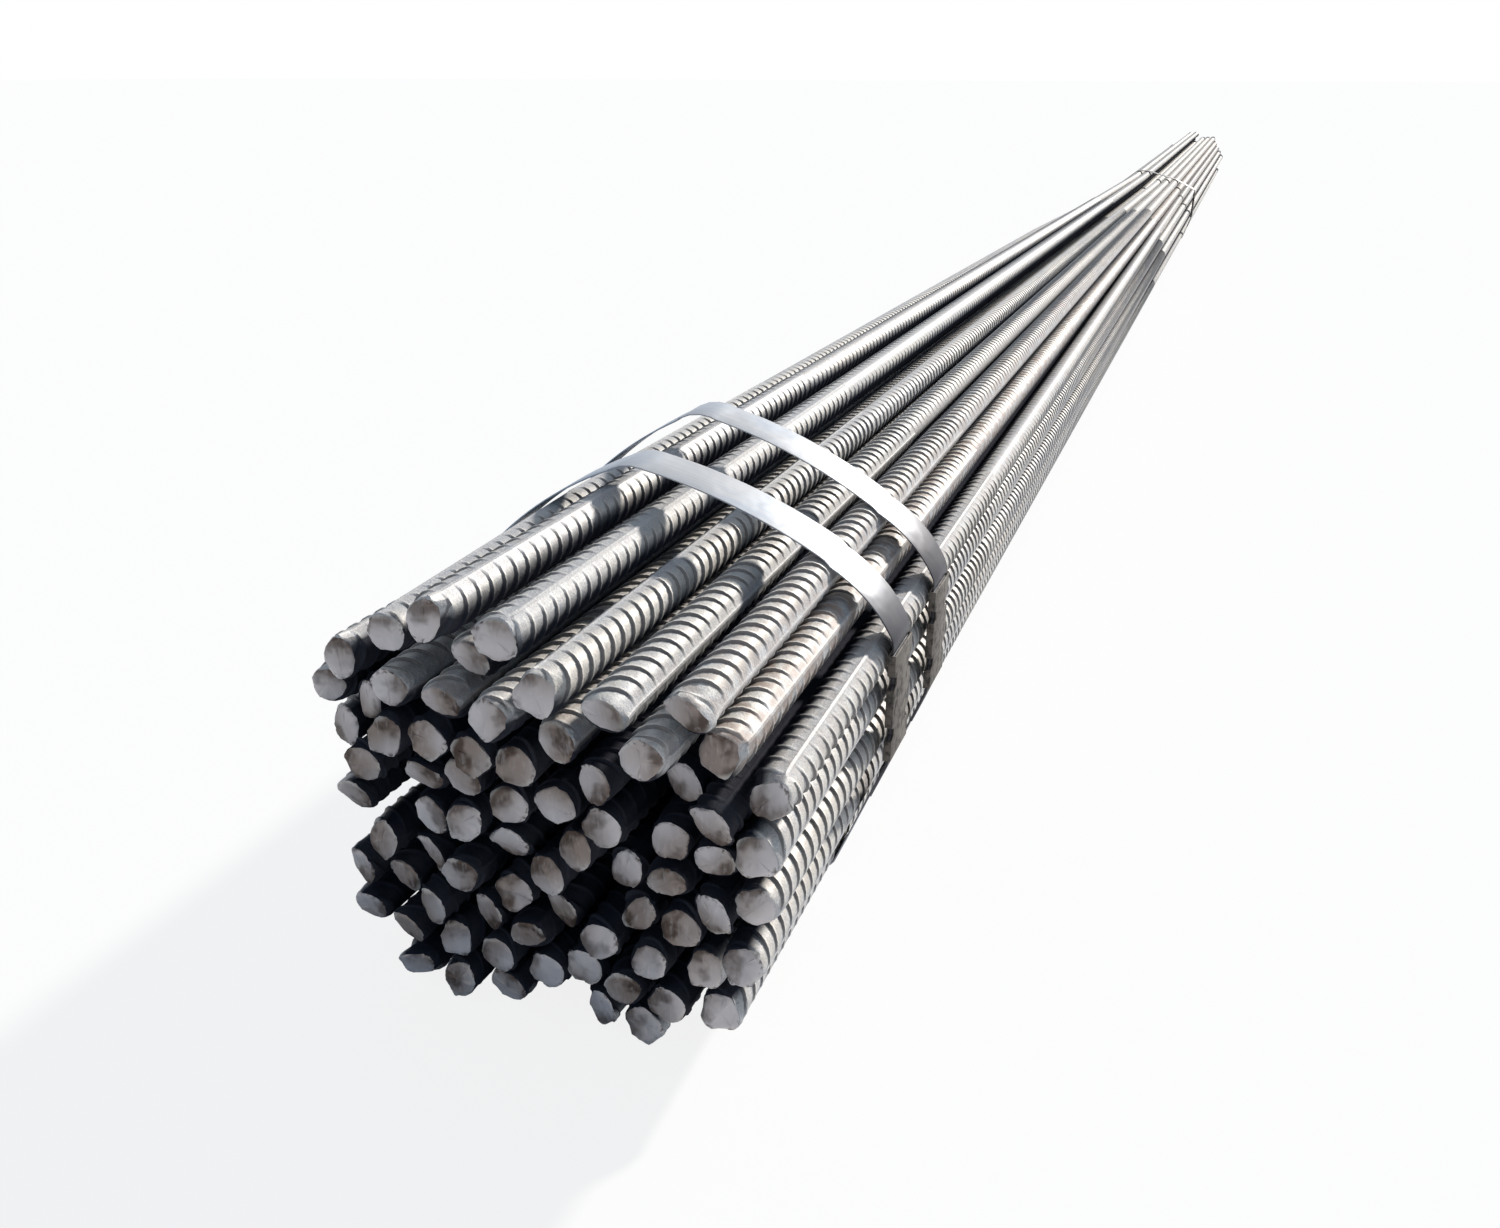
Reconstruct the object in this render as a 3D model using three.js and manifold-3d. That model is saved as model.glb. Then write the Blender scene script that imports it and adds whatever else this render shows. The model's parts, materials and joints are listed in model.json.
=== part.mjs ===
// A bundle of ribbed reinforcing bars held by three flat steel straps.
// Units are millimetres. The bars lie along Y with their staggered cut ends towards -Y, and +Z is up.
import * as THREE from 'three';
import { mergeVertices } from 'three/addons/utils/BufferGeometryUtils.js';
import ManifoldModule from 'manifold-3d';

const manifold = await ManifoldModule();
manifold.setup();
const { Manifold, Mesh } = manifold;

// ---------------------------------------------------------------- bars
const BAR_DIAMETER = 22;          // nominal size of the bar: a round bar of the same weight
const BAR_LENGTH = 6000;          // the length that the bars are sold in
const LENGTH_SPREAD = 24;         // how much one bar's length differs from another's
const BAR_SIDES = 12;             // flats of the drawn bar, turned so that they face its neighbours
const RIB_HEIGHT = 1.55;          // how far the rolled ribs stand out of the nominal round
const CUT_LENGTH = 14;            // how far a shear's squeeze reaches along the bar
const CUT_SQUASH = 0.9;           // a sheared end is this much flatter than the bar
const CUT_SLOPE = 0.07;           // the sheared face leans by this much for each millimetre across

// ---------------------------------------------------------------- how the bars lie
const RIB_CLEARANCE = 0.4;        // play between the ribs of two bars in the loose front of the bundle
const TIGHT_CLEARANCE = 0.26;     // gap between two bars in the tight part
const FUSED_OVERLAP = 0.06;       // the inner bars of one layer run into each other by this much there
const TIGHT_START = 3300;         // from here to the far end the bars lie tight

// ---------------------------------------------------------------- straps and their crimped seals
const STRAP_WIDTH = 32;
const STRAP_THICKNESS = 0.9;
const STRAP_GAP = 0.75;           // from the nominal round of a bar to the strap, which lies on the ribs
const STRAP_PLACES = [198, 293, 3420];     // middle of each strap, from the frontmost cut end
const STRAP_SLACK = [13, 20, 0];           // how far each strap bows up over the two highest bars
const CREST_RADIUS = 26;          // the bend of a slack strap at its highest place
const SEAL_LENGTH = 66;
const SEAL_THICKNESS = 1;
const SEAL_PLAY = 0.3;            // gap between the seal and the strap inside it
const SEAL_LIP = 9;               // width of the seal's edges, folded under the strap
const SEAL_STANDOFF = 2.6;        // the strap stands off the bars by this much where the seal is
const SEAL_HEIGHT = 0.57;         // middle of the seal, as a share of the strap's height
const NOTCH_DEPTH = 6;            // the crimper cuts this far into both edges ...
const NOTCH_LENGTH = 9;           // ... over this length ...
const NOTCH_SPACING = 32;         // ... in two pairs, this far apart
const TAIL_LENGTH = 26;           // the strap's cut end runs on below its seal
const ROUND_STEPS = 24;           // segments of a full turn of strap
const SMOOTHING = 0.05;           // bends of the strap finer than this are left out

// One bar is [across, up, column, back]. Across and up give its cut end in the loose front, in loose
// pitches from the middle and from the bottom layer. Column is its place in the tight part, in tight
// pitches. Back is how far its cut end stands behind the frontmost one, in millimetres.
// Each layer has the bars of its left side, those inside the bundle, and those of its right side.
const LAYERS = [
  {
    left: [[-3.35, 0, -2, 30], [-2.25, 0, -1, 30], [-1.15, 0, 0, 35]],
    inside: [],
    right: [[1.05, 0.1, 2, 35], [2.05, 0, 3, 35]],
  },
  {
    left: [[-4.35, 1.3, -3.5, 30]],
    inside: [[-3.42, 1, -2.5, 30], [-2.2, 1.05, -1.5, 30], [-1.15, 1, -0.5, 30], [-0.1, 0.75, 0.5, 35],
      [0.8, 1.15, 1.5, 35], [1.75, 1, 2.5, 30], [2.75, 0.95, 3.5, 30]],
    right: [[3.85, 1.1, 4.5, 30]],
  },
  {
    left: [[-4.45, 2.3, -4, 30]],
    inside: [[-3.45, 2.25, -3, 35], [-2.55, 1.98, -2, 25], [-1.35, 2, -1, 30], [-0.4, 1.7, 0, 30],
      [0.3, 2.4, 1, 35], [1.25, 2.05, 2, 30], [2.35, 1.9, 3, 30]],
    right: [[3.55, 2.05, 4, 30]],
  },
  {
    left: [[-3.75, 3.2, -3.5, 30]],
    inside: [[-2.7, 3, -2.5, 35], [-1.72, 2.95, -1.5, 25], [-0.65, 2.7, -0.5, 30], [0.2, 3.38, 0.5, 30],
      [1.15, 3.15, 1.5, 85], [2.07, 2.86, 2.5, 35], [3.05, 2.9, 3.5, 30]],
    right: [[4.4, 2.6, 4.5, 25]],
  },
  {
    left: [[-4.35, 4.1, -4, 30]],
    inside: [[-3.4, 4.15, -3, 90], [-2.43, 4.13, -2, 30], [-1.5, 4.32, -1, 25], [-0.6, 3.92, 0, 30],
      [0.9, 4.15, 1, 30], [1.85, 3.84, 2, 35], [2.82, 3.92, 3, 30], [3.8, 3.6, 4, 25]],
    right: [[4.7, 4.05, 5, 25]],
  },
  {
    left: [[-4.8, 5.4, -4.5, 45]],
    inside: [[-3.75, 5.15, -3.5, 25], [-2.35, 5.15, -2.5, 25], [-1.4, 5.35, -1.5, 25],
      [-0.42, 4.96, -0.5, 25], [0.65, 5.25, 0.5, 25], [1.65, 4.97, 1.5, 25], [2.9, 4.92, 2.5, 30],
      [3.88, 4.8, 3.5, 25]],
    right: [[4.75, 5.25, 4.5, 20]],
  },
  {
    left: [[-4.88, 6.4, -5, 40]],
    inside: [[-3.92, 6.25, -4, 40], [-2.98, 6, -3, 20], [-2, 6.16, -2, 20], [-0.9, 6.15, -1, 15],
      [0.08, 6.15, 0, 15], [1.6, 6.05, 1, 20], [3.02, 5.95, 2, 40], [3.98, 5.85, 3, 15]],
    right: [[4.9, 6.35, 4, 25]],
  },
  {
    left: [[-4.1, 7.35, -3.5, 30]],
    inside: [[-2.85, 7, -2.5, 25], [-1.55, 7.05, -1.5, 20], [-0.1, 7.3, -0.5, 5], [1, 6.9, 0.5, 15]],
    right: [[3, 7.25, 2.5, 0], [4.1, 7.2, 3.5, 20]],
  },
  {
    left: [[-2.55, 8.3, -2, 20], [-1.05, 7.9, -1, 30], [0.9, 7.95, 1, 5]],
    inside: [],
    right: [[2.2, 7.85, 2, 5], [3.65, 8.05, 3, 10]],
  },
  {
    left: [[-1.2, 9.05, -1.5, 5], [-0.05, 8.7, -0.5, 15]],
    inside: [],
    right: [],
  },
];

// ---------------------------------------------------------------- sizes that follow from those above
const BAR_RADIUS = BAR_DIAMETER / 2;
// The drawn section has the round bar's area, so its corners stand a little outside the round.
const SIDE_ANGLE = 2 * Math.PI / BAR_SIDES;
const CORNER_RADIUS = BAR_RADIUS * Math.sqrt(SIDE_ANGLE / Math.sin(SIDE_ANGLE));
const ACROSS_FLATS = 2 * CORNER_RADIUS * Math.cos(SIDE_ANGLE / 2);
const LOOSE_PITCH = BAR_DIAMETER + 2 * RIB_HEIGHT + RIB_CLEARANCE;
const TIGHT_PITCH = ACROSS_FLATS + TIGHT_CLEARANCE;
const FUSED_PITCH = ACROSS_FLATS - FUSED_OVERLAP;
// Fusing draws the ends of a layer's inner row inwards, so layers lie as high as that drift asks for.
const LONGEST_ROW = Math.max(...LAYERS.map((layer) => layer.inside.length));
const DRIFT = (TIGHT_PITCH - FUSED_PITCH) * (LONGEST_ROW - 1) / 2;
const NEST_SLOPE = Math.PI / 3;
const LAYER_HEIGHT = (TIGHT_PITCH - (TIGHT_PITCH / 2 - DRIFT) * Math.cos(NEST_SLOPE)) / Math.sin(NEST_SLOPE);
const BOTTOM_BAR = STRAP_THICKNESS + STRAP_GAP + BAR_RADIUS;
const CENTRE = new THREE.Vector2(0, 0);

// ---------------------------------------------------------------- materials
const barSteel = new THREE.MeshStandardMaterial({ color: 0x9b9a95, roughness: 0.45, metalness: 0.85 });
const strapSteel = new THREE.MeshStandardMaterial({ color: 0xc3c8ce, roughness: 0.25, metalness: 0.95 });
const sealSteel = new THREE.MeshStandardMaterial({ color: 0x6b6055, roughness: 0.6, metalness: 0.7 });

// Turns a manifold into a flat-shaded three.js geometry.
function toGeometry(solid) {
  const mesh = solid.getMesh();
  const corners = new Float32Array(mesh.numVert * 3);
  for (let i = 0; i < mesh.numVert; i += 1) corners.set(mesh.position(i), i * 3);
  const geometry = new THREE.BufferGeometry();
  geometry.setAttribute('position', new THREE.BufferAttribute(corners, 3));
  geometry.setIndex([...mesh.triVerts]);
  const flat = geometry.toNonIndexed();
  flat.computeVertexNormals();
  return flat;
}

// Turns a closed three.js geometry into a manifold.
function toManifold(geometry) {
  const bare = geometry.clone();
  bare.deleteAttribute('normal');
  bare.deleteAttribute('uv');
  const joined = mergeVertices(bare, 1e-4);
  return new Manifold(new Mesh({
    numProp: 3,
    vertProperties: new Float32Array(joined.attributes.position.array),
    triVerts: new Uint32Array(joined.index.array),
  }));
}

// The middle line of a bar: straight pieces between stations, each an equal share of the curve.
class StationPath extends THREE.Curve {
  constructor(stations) {
    super();
    this.stations = stations;
  }

  getPoint(share, target = new THREE.Vector3()) {
    const along = share * (this.stations.length - 1);
    const index = Math.min(Math.floor(along), this.stations.length - 2);
    return target.lerpVectors(this.stations[index], this.stations[index + 1], along - index);
  }

  getPointAt(share, target) {
    return this.getPoint(share, target);
  }

  getTangentAt(share, target) {
    return this.getTangent(share, target);
  }
}

// Spreads numbers evenly over 0 to 1 in an order that looks random.
function scatter(index) {
  return (index * 0.618034) % 1;
}

// ---------------------------------------------------------------- where the bars lie
// Gives each bar its loose and its tight place, as points in the XZ plane.
function placeBars() {
  const bars = [];
  LAYERS.forEach((layer, level) => {
    const columns = layer.inside.map((bar) => bar[2]);
    const middle = (Math.min(...columns) + Math.max(...columns)) / 2;
    for (const [side, row] of Object.entries(layer)) {
      for (const [across, up, column, back] of row) {
        const tightX = side === 'inside'
          ? middle * TIGHT_PITCH + (column - middle) * FUSED_PITCH
          : column * TIGHT_PITCH;
        bars.push({
          level,
          inside: side === 'inside',
          number: bars.length + 1,
          loose: new THREE.Vector2(across * LOOSE_PITCH, BOTTOM_BAR + up * LOOSE_PITCH),
          tight: new THREE.Vector2(tightX, BOTTOM_BAR + level * LAYER_HEIGHT),
          front: back,
        });
      }
    }
  });
  return bars;
}

// The middle of a bar at a distance from the frontmost cut end.
function barAt(bar, distance) {
  const place = bar.loose.clone().lerp(bar.tight, Math.min(distance / TIGHT_START, 1));
  return new THREE.Vector3(place.x, distance, place.y);
}

// Squeezes one sheared end of a bar and leans its face.
function shearEnd(geometry, middle, turn, outwards) {
  const corner = new THREE.Vector3();
  const position = geometry.attributes.position;
  for (let i = 0; i < position.count; i += 1) {
    corner.fromBufferAttribute(position, i);
    if (Math.abs(corner.y - middle.y) > CUT_LENGTH / 4) continue;
    const arm = new THREE.Vector2(corner.x - middle.x, corner.z - middle.z).rotateAround(CENTRE, -turn);
    arm.y *= CUT_SQUASH;
    const lean = outwards * CUT_SLOPE * (arm.y - CORNER_RADIUS);
    arm.rotateAround(CENTRE, turn);
    position.setXYZ(i, middle.x + arm.x, corner.y + lean, middle.z + arm.y);
  }
}

// A whole bar: a many-sided section swept along its stations, with a sheared end at the front and the back.
function barGeometry(bar) {
  const section = new THREE.Shape();
  for (let i = 0; i < BAR_SIDES; i += 1) {
    const angle = (i + 0.5) * SIDE_ANGLE;
    section[i === 0 ? 'moveTo' : 'lineTo'](CORNER_RADIUS * Math.cos(angle), CORNER_RADIUS * Math.sin(angle));
  }
  const back = bar.front + BAR_LENGTH + LENGTH_SPREAD * (scatter(bar.number) - 0.5);
  const stations = [bar.front, bar.front + CUT_LENGTH, TIGHT_START, back - CUT_LENGTH, back]
    .map((distance) => barAt(bar, distance));
  const geometry = new THREE.ExtrudeGeometry(section, {
    extrudePath: new StationPath(stations),
    steps: stations.length - 1,
    bevelEnabled: false,
  });
  const turn = Math.PI * scatter(bar.number + 0.5);
  shearEnd(geometry, stations[0], turn, -1);
  shearEnd(geometry, stations[stations.length - 1], turn, 1);
  geometry.computeVertexNormals();
  return geometry;
}

// ---------------------------------------------------------------- straps
// What a strap is wrapped round, as circles in the XZ plane: the bars, and what holds the strap off them.
function wrapRounds(bars, distance, slack) {
  const rounds = bars.map((bar) => {
    const middle = barAt(bar, distance);
    return { x: middle.x, z: middle.z, radius: BAR_RADIUS };
  });
  const right = Math.max(...rounds.map((round) => round.x));
  const low = Math.min(...rounds.map((round) => round.z - round.radius));
  const high = Math.max(...rounds.map((round) => round.z + round.radius));
  const sealMiddle = low + (high - low) * SEAL_HEIGHT;
  // The seal lifts the strap off the bars on the right.
  for (const side of [-1, 1]) {
    rounds.push({ x: right + SEAL_STANDOFF, z: sealMiddle + side * SEAL_LENGTH / 2, radius: BAR_RADIUS });
  }
  // A slack strap bows up over the two highest bars.
  if (slack > 0) {
    const [first, second] = [...bars].sort((one, other) => other.loose.y - one.loose.y);
    const crest = barAt(first, distance).lerp(barAt(second, distance), 0.5);
    rounds.push({ x: crest.x, z: high + slack - CREST_RADIUS, radius: CREST_RADIUS });
  }
  return { rounds, sealMiddle };
}

// How far a point stands out to the right of the line from one point to another.
function standsOut(from, point, to) {
  const line = to.clone().sub(from);
  return point.clone().sub(from).cross(line) / line.length();
}

// The closed line that a taut strap takes round circles that are all grown by the same amount.
function tautLine(rounds, growth) {
  const points = rounds.flatMap(({ x, z, radius }) => {
    const grown = radius + growth;
    return new THREE.EllipseCurve(x, z, grown, grown).getPoints(ROUND_STEPS).slice(1);
  });
  points.sort((one, other) => one.x - other.x || one.y - other.y);
  const halves = [points, [...points].reverse()].map((half) => {
    const chain = [];
    for (const point of half) {
      while (chain.length > 1 && standsOut(chain.at(-2), chain.at(-1), point) < SMOOTHING) chain.pop();
      chain.push(point);
    }
    return chain.slice(0, -1);
  });
  return halves.flat();
}

// A flat band wrapped round the bundle between two distances outside the bars, its width centred on a place.
function band(rounds, inner, outer, width, distance) {
  const section = new THREE.Shape(tautLine(rounds, outer));
  section.holes.push(new THREE.Path(tautLine(rounds, inner)));
  const geometry = new THREE.ExtrudeGeometry(section, { depth: width, bevelEnabled: false });
  return toManifold(geometry.rotateX(Math.PI / 2).translate(0, distance + width / 2, 0));
}

// A block that covers the right side of the bundle at a strap, between two heights.
function rightBlock(low, high, distance) {
  const reach = 2 * LOOSE_PITCH * LONGEST_ROW;
  const block = new THREE.BoxGeometry(reach, 2 * STRAP_WIDTH, high - low);
  return toManifold(block.translate(reach / 2, distance, (low + high) / 2));
}

// The four notches that the crimper cuts into both edges of the seal and of the strap inside it.
function notches({ rounds, sealMiddle }, distance) {
  const reach = Math.max(...rounds.map((round) => round.x + round.radius));
  const edge = STRAP_WIDTH / 2 + SEAL_PLAY + SEAL_THICKNESS;
  const places = [];
  for (const along of [-1, 1]) {
    for (const side of [-1, 1]) {
      const height = sealMiddle + along * NOTCH_SPACING / 2;
      const cutter = new THREE.CylinderGeometry(NOTCH_DEPTH, NOTCH_DEPTH, BAR_DIAMETER, 6);
      cutter.rotateZ(Math.PI / 2).scale(1, 1, NOTCH_LENGTH / (2 * NOTCH_DEPTH));
      places.push(toManifold(cutter.translate(reach, distance + side * edge, height)));
    }
  }
  return Manifold.union(places);
}

// The strap: one closed turn, doubled where its two ends lie over each other in the seal.
function strapSolid(wrap, distance) {
  const { rounds, sealMiddle } = wrap;
  const outer = STRAP_GAP + STRAP_THICKNESS;
  const low = sealMiddle - SEAL_LENGTH / 2 - TAIL_LENGTH;
  const high = sealMiddle + SEAL_LENGTH / 2 - SEAL_THICKNESS;
  const turn = band(rounds, STRAP_GAP, outer, STRAP_WIDTH, distance);
  const doubled = band(rounds, STRAP_GAP, outer + STRAP_THICKNESS, STRAP_WIDTH, distance);
  return turn.add(doubled.intersect(rightBlock(low, high, distance))).subtract(notches(wrap, distance));
}

// The seal: a cover over the doubled strap, with both edges folded down and under it.
function sealSolid(wrap, distance) {
  const { rounds, sealMiddle } = wrap;
  const under = STRAP_GAP - SEAL_PLAY;
  const strapTop = STRAP_GAP + 2 * STRAP_THICKNESS;
  const over = strapTop + SEAL_PLAY;
  const hollow = STRAP_WIDTH + 2 * SEAL_PLAY;
  const width = hollow + 2 * SEAL_THICKNESS;
  const block = rightBlock(sealMiddle - SEAL_LENGTH / 2, sealMiddle + SEAL_LENGTH / 2, distance);
  const whole = band(rounds, under - SEAL_THICKNESS, over + SEAL_THICKNESS, width, distance);
  const room = band(rounds, under, over, hollow, distance);
  // The space between the two folded edges, under the strap.
  const slot = band(rounds, under - 2 * SEAL_THICKNESS, STRAP_GAP, hollow - 2 * SEAL_LIP, distance);
  return whole.intersect(block).subtract(room).subtract(slot).subtract(notches(wrap, distance));
}

// ---------------------------------------------------------------- assembly
function part(name, geometry, material) {
  const mesh = new THREE.Mesh(geometry, material);
  mesh.name = name;
  return mesh;
}

const bundle = new THREE.Group();
const bars = placeBars();

// Outer bars, each on its own.
bars.filter((bar) => !bar.inside).forEach((bar, index) => {
  bundle.add(part(`bar_${String(index + 1).padStart(2, '0')}`, barGeometry(bar), barSteel));
});

// Inner bars, one solid for each layer.
LAYERS.forEach((layer, level) => {
  const row = bars.filter((bar) => bar.inside && bar.level === level);
  if (row.length === 0) return;
  const fused = Manifold.union(row.map((bar) => toManifold(barGeometry(bar))));
  bundle.add(part(`inner_bars_layer_${level + 1}`, toGeometry(fused), barSteel));
});

STRAP_PLACES.forEach((distance, index) => {
  const wrap = wrapRounds(bars, distance, STRAP_SLACK[index]);
  bundle.add(part(`strap_${index + 1}`, toGeometry(strapSolid(wrap, distance)), strapSteel));
  bundle.add(part(`seal_${index + 1}`, toGeometry(sealSolid(wrap, distance)), sealSteel));
});

// The origin is under the middle of the bundle, on the floor.
const bounds = new THREE.Box3().setFromObject(bundle);
const middle = bounds.getCenter(new THREE.Vector3());
for (const mesh of bundle.children) mesh.position.set(-middle.x, -middle.y, -bounds.min.z);

export default bundle;
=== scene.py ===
"""A strapped bundle of ribbed steel reinforcing bars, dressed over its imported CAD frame."""
import json
import math

import bpy
import numpy as np
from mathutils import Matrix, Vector

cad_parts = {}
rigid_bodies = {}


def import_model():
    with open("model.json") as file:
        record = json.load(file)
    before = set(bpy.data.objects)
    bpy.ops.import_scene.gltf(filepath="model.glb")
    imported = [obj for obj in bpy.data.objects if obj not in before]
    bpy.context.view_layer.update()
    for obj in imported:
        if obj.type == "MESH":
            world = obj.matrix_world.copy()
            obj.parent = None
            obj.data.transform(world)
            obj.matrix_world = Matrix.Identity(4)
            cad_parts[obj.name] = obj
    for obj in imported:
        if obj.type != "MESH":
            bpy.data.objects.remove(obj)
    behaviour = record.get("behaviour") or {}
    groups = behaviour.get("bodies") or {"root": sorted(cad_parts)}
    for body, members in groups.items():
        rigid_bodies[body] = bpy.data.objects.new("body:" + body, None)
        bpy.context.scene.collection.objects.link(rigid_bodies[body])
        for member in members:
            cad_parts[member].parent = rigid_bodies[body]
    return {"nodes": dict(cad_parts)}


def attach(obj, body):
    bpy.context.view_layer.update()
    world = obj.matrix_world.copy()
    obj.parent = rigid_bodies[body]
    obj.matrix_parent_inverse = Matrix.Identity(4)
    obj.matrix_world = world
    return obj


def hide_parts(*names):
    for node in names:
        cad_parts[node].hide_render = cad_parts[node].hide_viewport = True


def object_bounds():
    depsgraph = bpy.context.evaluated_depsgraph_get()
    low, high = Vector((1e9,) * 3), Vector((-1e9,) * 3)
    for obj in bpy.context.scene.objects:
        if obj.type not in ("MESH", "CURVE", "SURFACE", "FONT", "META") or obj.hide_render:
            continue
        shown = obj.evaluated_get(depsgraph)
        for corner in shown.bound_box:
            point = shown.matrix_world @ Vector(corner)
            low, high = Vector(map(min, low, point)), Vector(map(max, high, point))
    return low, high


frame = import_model()
cad_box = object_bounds()

# ================================================================ the view
# Seen from just in front of the cut ends, a little above the bundle and to the right of it,
# looking down along the bars towards the left.
FRONT = cad_box[0].y                    # the frontmost cut end
VIEW_PLACE = Vector((0.2785, FRONT - 0.3835, 0.4646))
VIEW_TURN = math.radians(21.74)         # to the left of straight along the bars
VIEW_DROP = math.radians(24.47)         # below the horizon
VIEW_LENS = 28.68
VIEW_SENSOR = 36

bpy.ops.object.camera_add(location=VIEW_PLACE, rotation=(math.pi / 2 - VIEW_DROP, 0, VIEW_TURN))
camera = bpy.context.object
camera.name = "view"
camera.data.lens = VIEW_LENS
camera.data.sensor_width = VIEW_SENSOR
camera.data.clip_start = 0.01
bpy.context.scene.camera = camera
bpy.context.scene.view_settings.view_transform = "Standard"


# ================================================================ ribbed bars
# Hot-rolled round bars of 22 mm. The last pass of the mill leaves two seams along the bar, where its rolls
# part, and rows of crescent ribs across both sides between them. A shear cuts the bars to length, which
# squeezes each end out of round, draws its edge over on one side and leaves a lip of torn steel.
CORE_RADIUS = 0.01065
RIB_PITCH = 0.0105
RIB_HEIGHT = 0.0015
RIB_FOOT = 0.0032                       # width of a crescent rib where it leaves the core ...
RIB_TOP = 0.0012                        # ... and along its crest
RIB_TIP = 0.0024                        # the ribs begin this far to either side of the seams
RIB_SLANT = 0.45                        # a rib runs this far along the bar for its rise across it
SEAM_TOP = 0.0014
SEAM_HEIGHT = 0.0008
CUT_REACH = 0.011                       # the shear's squeeze is felt this far into the bar
CUT_UNEVEN = 0.0004                     # how uneven a cut face is
ROUNDED_EDGE = (                        # how far forward each ring round a cut face lies, and its share of
    (0.0010, 0.955),                    # the size of the one before
    (0.0006, 0.92),
    (0.0003, 0.83),
    (0.0001, 0.72),
)
LEAN_ROOM = 0.0005                      # a cut lies this far back, for the corners of a leaning bar
CUT_KINDS = 8                           # differently torn ends
FINE_SIDES = 20                         # faces round a bar where its ribs are modelled closely ...
PLAIN_SIDES = 12                        # ... and where they are modelled with a single crest
BACK_PITCHES = 10                       # ribs modelled at the back end
RING_SKEW = RIB_SLANT * SEAM_HEIGHT     # the raised seams lie this far off a slanted ring of corners ...
NEAR_RING = 1.1 * RING_SKEW             # ... so all of its corners are found within this
NEAR_GAP = RIB_PITCH / 4                # between the closely and the plainly modelled ribs
BEND = 3.24                             # a model bar bends here ...
END = 5.99                              # ... and ends here
NEAR_BEND = 0.1                         # there are no other corners this near to its bend ...
NEAR_END = 0.2                          # ... or as near to its end, apart from those of its back ribs
TIGHT_FROM = FRONT + 3.3                # the laid bars bend here, and lie tight from here to the far end
CUT_FACING = 0.9                        # a face that faces this squarely along the bars is a cut
SIDE_GAP_SHADE = 0.6                      # painted shade of the gaps where a bar's skin faces across the outward direction ...
GAP_SHADE_FALL = 2.9                      # ... and how fast it falls as the skin turns outward
ALL_OF_IT = -1                          # every corner lies behind this
MERGE = 1e-5


class Shade:
    """An output of a material's nodes. Sums and products of it add Math nodes."""

    def __init__(self, tree, socket=None):
        self.tree = tree
        self.socket = socket

    def node(self, kind, settings, inputs, output=0):
        """Adds any other node: its settings first, then the values or links of its sockets."""
        made = self.tree.nodes.new("ShaderNode" + kind)
        for name, value in settings.items():
            if name == "stops":
                ramp = made.color_ramp.elements
                ramp[0].position, ramp[1].position = value[0][0], value[-1][0]
                for place, _ in value[1:-1]:
                    ramp.new(place)
                for element, (_, colour) in zip(ramp, value):
                    element.color = (*colour, 1)
            else:
                setattr(made, name, value)
        for name, value in inputs.items():
            if isinstance(value, Shade):
                self.tree.links.new(value.socket, made.inputs[name])
            else:
                made.inputs[name].default_value = value
        return Shade(self.tree, made.outputs[output] if made.outputs else None)

    def math(self, operation, *others):
        return self.node("Math", {"operation": operation}, dict(enumerate((self, *others))))

    def rise(self, low, high):
        """0 below the low value, 1 above the high one, and smooth between them."""
        limits = {"Value": self, "From Min": low, "From Max": high}
        return self.node("MapRange", {"interpolation_type": "SMOOTHSTEP"}, limits)

    def __add__(self, other):
        return self.math("ADD", other)

    def __sub__(self, other):
        return self.math("SUBTRACT", other)

    def __rsub__(self, other):
        return self.node("Math", {"operation": "SUBTRACT"}, {0: other, 1: self})

    def __mul__(self, other):
        return self.math("MULTIPLY", other)

    __radd__ = __add__
    __rmul__ = __mul__


def new_material(name):
    """A material without nodes, and the start of its nodes."""
    material = bpy.data.materials.new(name)
    material.use_nodes = True
    material.node_tree.nodes.clear()
    return material, Shade(material.node_tree)


def mixed(share, first, second):
    """A blend of two colours."""
    return share.node("Mix", {"data_type": "RGBA"}, {0: share, 6: first, 7: second}, output=2)


def scaled(place, scale):
    """A place squeezed along its axes by this much."""
    return place.node("VectorMath", {"operation": "MULTIPLY"}, {0: place, 1: scale})


def clouds(place, scale, detail):
    """Noise from 0 to 1 with this many clouds to a metre."""
    return place.node("TexNoise", {}, {"Vector": place, "Scale": scale, "Detail": detail})


def parts_of(place):
    """The x, y and z of a place."""
    return [place.node("SeparateXYZ", {}, {0: place}, output=axis) for axis in range(3)]


# The skin of the bars is thin grey mill scale. Rolls and handling have rubbed the ribs and seams bright, and
# light brown rust has begun between them. Sides that face into the bundle are painted dark: painted shade of
# the gaps between bars.
SCALE_GREY = (0.64, 0.62, 0.58, 1)
SCALE_BLUE = (0.43, 0.45, 0.49, 1)
RUBBED = (0.80, 0.76, 0.70, 1)
# Dark scale in pits, and also the colour of painted shade and painted shadow.
DARK_SCALE_AND_SHADE = (0.020, 0.022, 0.032, 1)
RUST = (0.30, 0.215, 0.17, 1)
SPECKLE_RELIEF = 0.0003
MOTTLE_RELIEF = 0.0005

rolled_steel, start = new_material("rolled steel")
here = start.node("TexCoord", {}, {}, output=3)
place = start.node("Attribute", {"attribute_name": "place"}, {}, output=1)
rust_of_bar = start.node("Attribute", {"attribute_name": "rust"}, {}, output=2)
bare = start.node("Attribute", {"attribute_name": "bare"}, {}, output=2)
shelter = start.node("Attribute", {"attribute_name": "shelter"}, {}, output=2)
ribs_passed = start.node("Attribute", {"attribute_name": "ribs_passed"}, {}, output=2)
across, _, upright = parts_of(place)
from_middle = (across * across + upright * upright).math("SQRT")
crescent = across.math("ABSOLUTE").rise(RIB_TIP, 1.2 * CORE_RADIUS)
past_rib = ribs_passed.math("FRACT")
towards_rib = (past_rib - 0.5).math("ABSOLUTE")
ridge = towards_rib.rise(0.5 - RIB_FOOT / RIB_PITCH / 2, 0.5 - RIB_TOP / RIB_PITCH / 2)
raised = from_middle.rise(CORE_RADIUS, CORE_RADIUS + 0.7 * RIB_HEIGHT) + ridge * crescent * bare
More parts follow.
